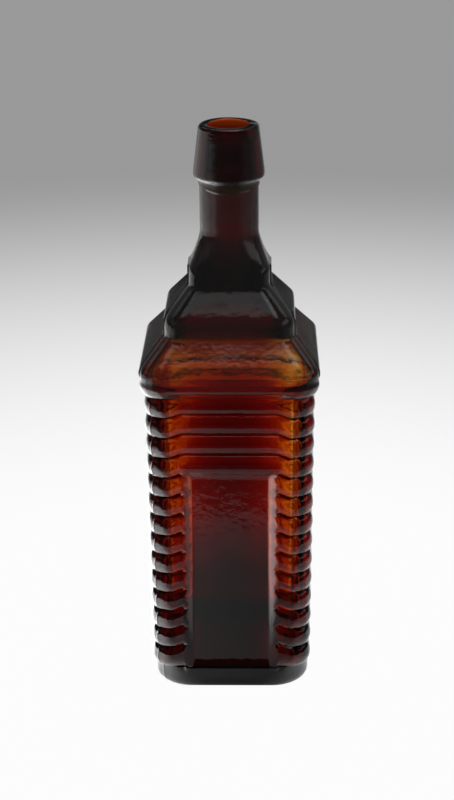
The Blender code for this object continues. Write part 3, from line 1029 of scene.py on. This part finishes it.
# %% Make short words for nodes
class Recipe:
    """Adds nodes to one material or world, with short words for the sums."""

    def __init__(self, owner, space):
        owner.use_nodes = True
        self.nodes, self.links = owner.node_tree.nodes, owner.node_tree.links
        self.nodes.clear()
        self.place = self.add("TexCoord").outputs[space]
        self.x, self.y, self.z = self.add("SeparateXYZ", Vector=self.place).outputs

    def put(self, socket, value):
        """Give a socket a number, a colour or another node's output."""
        if isinstance(value, (int, float)):
            socket.default_value = value
        elif isinstance(value, tuple):
            socket.default_value = (*value, 1)
        else:
            self.links.new(value, socket)

    def add(self, kind, **sockets):
        """A node with its sockets filled. A space in a name is written _."""
        node = self.nodes.new("ShaderNode" + kind)
        for name, value in sockets.items():
            self.put(node.inputs[name.replace("_", " ")], value)
        return node

    def math(self, operation, *values):
        """One sum."""
        node = self.add("Math")
        node.operation = operation
        for socket, value in zip(node.inputs, values):
            self.put(socket, value)
        return node.outputs["Value"]

    def product(self, first, *others):
        """Several values multiplied."""
        for other in others:
            first = self.math("MULTIPLY", first, other)
        return first

    def fade(self, value, start, end, first=0.0, last=1.0):
        """From first to last, while the value goes from start to end."""
        node = self.add("MapRange", Value=value, From_Min=start, From_Max=end, To_Min=first, To_Max=last)
        node.interpolation_type = "SMOOTHSTEP"
        return node.outputs["Result"]

    def blend(self, share, first, last):
        """A colour between two, by a share from 0 to 1."""
        node = self.add("Mix")
        node.data_type = "RGBA"
        for name, value in (("Factor", share), ("A", first), ("B", last)):
            self.put(node.inputs[name], value)
        return node.outputs["Result"]

    def noise(self, size, detail):
        """A noise whose bumps are about this size."""
        return self.add("TexNoise", Vector=self.place, Scale=1 / size, Detail=detail).outputs["Fac"]

    def distance(self):
        """How far the place is from the bottle's axis."""
        square = self.math("ADD", self.math("POWER", self.x, 2.0), self.math("POWER", self.y, 2.0))
        return self.math("SQRT", square)

    def turn_from_front(self):
        """0 straight in front of the bottle, 1 straight behind it."""
        angle = self.math("ARCTAN2", self.math("ABSOLUTE", self.x), self.math("MULTIPLY", self.y, -1.0))
        return self.math("DIVIDE", angle, math.pi)

    def glow(self, strength, shader="Emission", output="OutputMaterial"):
        """Finish with a light of this strength."""
        self.add(output, Surface=self.add(shader, Strength=strength).outputs[0])


print("words for nodes:", [word for word in vars(Recipe) if not word.startswith("_")])

# %% [markdown]
# ## The glass
#
# Colour could sit on the surface, but then thin and thick glass would look alike. Here
# the volume absorbs blue first, then green, then red, so thin glass is orange, thicker
# glass is red, and the thickest is nearly black. A tint of the surface makes the roof's
# steps darker, with a trace of haze, the neck redder and the collar darkest. A mould
# leaves a hammered skin, which a bump from two noises gives.

# %% Mix the glass
GLASS_IOR = 1.52
ABSORBED = (0.14, 0.41, 1.0)
BODY_DENSITY = 3000
COLLAR_DENSITY = 1900
COLLAR_ROUGHNESS = 0.03
HAMMER_SIZE = 0.0021
HAMMER_DEPTH = 0.00015
BODY_HAMMER = 0.5
COLLAR_HAMMER = 0.3
GRAIN_SIZE = 0.0007
GRAIN_SHARE = 0.25
CLEAR = (1.0, 1.0, 1.0)
ROOF_TINT = (0.50, 0.52, 0.50)
NECK_TINT = (1.0, 0.6, 0.6)
COLLAR_TINT = (0.42, 0.42, 0.42)
ROOF_RAMP = (0.138, 0.174)
TOP_RAMP = (0.192, 0.212)
RIM_RAMP = (0.2515, 0.2565)
ROOF_HAZE = 0.035
COLLAR_HAZE = 0.018


def hammered(recipe, strength):
    """The bumps of a hammered skin, from a coarse noise and a fine one."""
    coarse, fine = recipe.noise(HAMMER_SIZE, 1.0), recipe.noise(GRAIN_SIZE, 2.0)
    height = recipe.math("MULTIPLY_ADD", fine, GRAIN_SHARE, coarse)
    return recipe.add("Bump", Strength=strength, Distance=HAMMER_DEPTH, Height=height).outputs["Normal"]


def glass(name, density, roughness, hammer, ramp, haze, tints):
    """Clear gloss over a coloured volume, with a hammered surface."""
    material = bpy.data.materials.new(name)
    recipe = Recipe(material, "Object")
    tint = recipe.blend(recipe.fade(recipe.z, *ramp), tints[0], tints[1])
    for colour in tints[2:]:
        tint = recipe.blend(recipe.fade(recipe.z, *TOP_RAMP), tint, colour)
    clearness = recipe.fade(recipe.z, *ramp, 1 - haze[0], 1 - haze[1])
    shader = recipe.add(
        "BsdfPrincipled", Base_Color=tint, Roughness=roughness, IOR=GLASS_IOR,
        Transmission_Weight=clearness, Normal=hammered(recipe, hammer),
    )
    kept = tuple(1 - share for share in ABSORBED)
    volume = recipe.add("VolumeAbsorption", Color=kept, Density=density)
    recipe.add("OutputMaterial", Surface=shader.outputs["BSDF"], Volume=volume.outputs["Volume"])
    return material


amber = glass(
    "amber_glass", BODY_DENSITY, 0.0, BODY_HAMMER,
    ROOF_RAMP, (0.0, ROOF_HAZE), (CLEAR, ROOF_TINT, NECK_TINT),
)
dark_amber = glass(
    "collar_glass", COLLAR_DENSITY, COLLAR_ROUGHNESS, COLLAR_HAMMER,
    RIM_RAMP, (COLLAR_HAZE, 0.0), (COLLAR_TINT, CLEAR),
)
body.data.materials.append(amber)
collar.data.materials.append(dark_amber)
print("glass:", body.data.materials[0].name, collar.data.materials[0].name)

# %% [markdown]
# ## In place of the solids
#
# The fine body and collar now stand where the packed solids stood, on the root body,
# and the packed solids are hidden.

# %% Stand the pieces in for the solids
for piece, node, finish in ((body, "bottle_body", "amber_glass"), (collar, "applied_lip", "lip_glass")):
    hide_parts(node)
    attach(piece, "root")
    print(f"{piece.name} replaces {node}")

# %% [markdown]
# ## The lit table
#
# Clear things are lit from behind. The floor is a pale lit table that glows round the
# bottle and falls off to a plain grey with distance, the same in every direction, so
# the bottle looks right from any side.

# %% Light the table
TABLE_RADIUS = 12.0
TABLE_CORNERS = 96
FLOOR_LEVEL = -0.0002
GLOW_NEAR = 0.973
GLOW_FAR = 0.32
GLOW_REACH = (0.15, 1.0)


def table_glow(recipe):
    """Brightness of the table at a place."""
    return recipe.fade(recipe.distance(), *GLOW_REACH, GLOW_NEAR, GLOW_FAR)


def make_table(name, height):
    """A round lit table, far larger than the view."""
    turn = np.linspace(0, math.tau, TABLE_CORNERS, endpoint=False)
    rim = TABLE_RADIUS * np.stack([np.cos(turn), np.sin(turn), 0 * turn], axis=-1)
    table = mesh_object(name, rim, [list(range(TABLE_CORNERS))])
    table.location.z = height
    table.data.materials.append(bpy.data.materials.new(name))
    return table, Recipe(table.data.materials[0], "Object")


floor, recipe = make_table("studio_floor", FLOOR_LEVEL)
recipe.glow(table_glow(recipe))
floor.visible_glossy = False
print(f"table: {TABLE_RADIUS} m, {GLOW_NEAR} near the bottle and {GLOW_FAR} far away")

# %% [markdown]
# ## What the glass mirrors
#
# A mirrored white table would hide the colour of the glass. The photographer's table
# ended a hand's width in front of the bottle, the room beyond was dark, and the lamps
# stood to the sides. Black card and strips of light would do the same in a studio. Here
# a second table is seen by reflections alone, so it stays out of the picture. Its light
# changes with the turn from the front: 0 straight in front, 1 straight behind.

# %% Make the mirrored table
MIRRORED_LEVEL = -0.0001
FRONT_EDGE = (0.200, 0.214)
FRONT_SECTOR = (0.22, 0.34)
FRONT_DARK = 0.85
FRONT_LIGHT = 0.36
SIDE_LIGHT = 1.8
SIDE_SECTOR = (0.10, 0.28)
LAMP_LIGHT = 2.8
LAMP_SECTOR = (0.42, 0.50)
BACK_LIGHT = 1.0
BACK_SECTOR = (0.76, 0.88)
TABLE_SIDES = (1.8, 0.36)
ACROSS_TABLE = (-0.1, 0.1)
SHADE_REACH = (0.034, 0.048)
SHADE_DARK = 0.55
SIDE_REACH = (0.30, 0.60)
SIDE_FAR = 0.45


def mirrored_light(recipe):
    """How much brighter or darker than the real table the mirrored one is."""
    fade, turn, distance = recipe.fade, recipe.turn_from_front(), recipe.distance()
    side = fade(turn, *SIDE_SECTOR, FRONT_LIGHT, SIDE_LIGHT)
    lamp = fade(turn, *LAMP_SECTOR, 0.0, LAMP_LIGHT - SIDE_LIGHT)
    beyond_edge = fade(recipe.math("MULTIPLY", recipe.y, -1.0), *FRONT_EDGE)
    dark = recipe.product(fade(turn, *FRONT_SECTOR, 1.0, 0.0), beyond_edge, FRONT_DARK)
    light = recipe.product(
        recipe.math("ADD", side, lamp),
        recipe.math("SUBTRACT", 1.0, dark),
        fade(distance, *SHADE_REACH, SHADE_DARK, 1.0),
        fade(distance, *SIDE_REACH, 1.0, SIDE_FAR),
        fade(recipe.x, *ACROSS_TABLE, *TABLE_SIDES),
    )
    ahead, behind = fade(turn, *BACK_SECTOR, 1.0, 0.0), fade(turn, *BACK_SECTOR, 0.0, BACK_LIGHT)
    return recipe.math("MULTIPLY_ADD", light, ahead, behind)


mirrored, recipe = make_table("mirrored_table", MIRRORED_LEVEL)
recipe.glow(recipe.product(table_glow(recipe), mirrored_light(recipe)))
mirrored.visible_camera = False
mirrored.visible_transmission = False
mirrored.visible_diffuse = False
mirrored.visible_shadow = False
print(f"mirrored table: {FRONT_LIGHT} in front, {SIDE_LIGHT} to {LAMP_LIGHT} beside, {BACK_LIGHT} behind")

# %% [markdown]
# ## The room
#
# The roof's slopes and the upper halves of the logs mirror the room. It is dark but
# for soft pale fields: low and high beside the bottle, overhead at the right, a window
# at the right, and the wall far behind. Real lamps would light the table as well, so
# the fields are painted into the world by direction. A direction's height goes from 0
# level to 1 straight up.

# %% Light the room
ROOM_DARK = 0.04
ACROSS_ROOM = (-0.3, 0.3)
BESIDE_LOW = 0.2
LOW_RISE = (0.02, 0.12)
LOW_SECTOR = (0.62, 0.76)
HIGH_RISE = (0.40, 0.60)
HIGH_SECTOR = (0.60, 0.72)
BESIDE_END = (0.78, 0.90)
BESIDE_BEHIND = 0.05
BESIDE_SIDES = (0.6, 0.8)
ABOVE_RISE = (0.86, 0.92)
ABOVE_SECTOR = (0.02, 0.24)
ABOVE_SIDES = (0.1, 1.2)
WINDOW_FOOT = (0.26, 0.36)
WINDOW_HEAD = (0.54, 0.62)
WINDOW_START = (0.24, 0.36)
WINDOW_END = (0.58, 0.66)
WINDOW_SIDES = (0.15, 0.65)
BACK_WALL = 0.3
WALL_HEAD = (0.06, 0.22)
WALL_SECTOR = (0.78, 0.86)


def room_light(recipe):
    """Brightness of the room in a direction."""
    x, z, turn = recipe.x, recipe.z, recipe.turn_from_front()
    fade, product = recipe.fade, recipe.product
    low = product(fade(z, *LOW_RISE, 0.0, BESIDE_LOW), fade(turn, *LOW_SECTOR))
    high = product(fade(z, *HIGH_RISE), fade(turn, *HIGH_SECTOR))
    beside = product(
        recipe.math("MAXIMUM", low, high),
        fade(turn, *BESIDE_END, 1.0, BESIDE_BEHIND),
        fade(x, *ACROSS_ROOM, *BESIDE_SIDES),
    )
    above = product(fade(z, *ABOVE_RISE), fade(turn, *ABOVE_SECTOR), fade(x, *ACROSS_ROOM, *ABOVE_SIDES))
    window = product(
        fade(z, *WINDOW_FOOT),
        fade(z, *WINDOW_HEAD, 1.0, 0.0),
        fade(turn, *WINDOW_START),
        fade(turn, *WINDOW_END, 1.0, 0.0),
        fade(x, *ACROSS_ROOM, *WINDOW_SIDES),
    )
    wall = product(fade(z, *WALL_HEAD, BACK_WALL, 0.0), fade(turn, *WALL_SECTOR))
    fields = recipe.math("MAXIMUM", recipe.math("MAXIMUM", beside, above), window)
    return recipe.math("ADD", recipe.math("ADD", fields, wall), ROOM_DARK)


scene.world = bpy.data.worlds.new("studio_room")
recipe = Recipe(scene.world, "Generated")
recipe.glow(room_light(recipe), "Background", "OutputWorld")
print(f"room: {ROOM_DARK} where it is dark, {max(WINDOW_SIDES)} in the window")

# %% [markdown]
# ## The lamp overhead
#
# One wide disk of light over the bottle draws the soft line along the rim and the
# steps. Its power is worked out from how bright its face should look, because a
# larger lamp of the same power looks dimmer.

# %% Hang the lamp
OVERHEAD_SIZE = 1.55
OVERHEAD_HEIGHT = 1.5
OVERHEAD_BRIGHTNESS = 0.6

light = bpy.data.lights.new("overhead", "AREA")
light.shape = "DISK"
light.size = OVERHEAD_SIZE
light.energy = OVERHEAD_BRIGHTNESS * math.pi**2 * (OVERHEAD_SIZE / 2) ** 2
add_object("overhead", light).location.z = OVERHEAD_HEIGHT
print(f"overhead lamp: {light.energy:.1f} W")
scene.view_settings.view_transform = "Standard"

# %% [markdown]
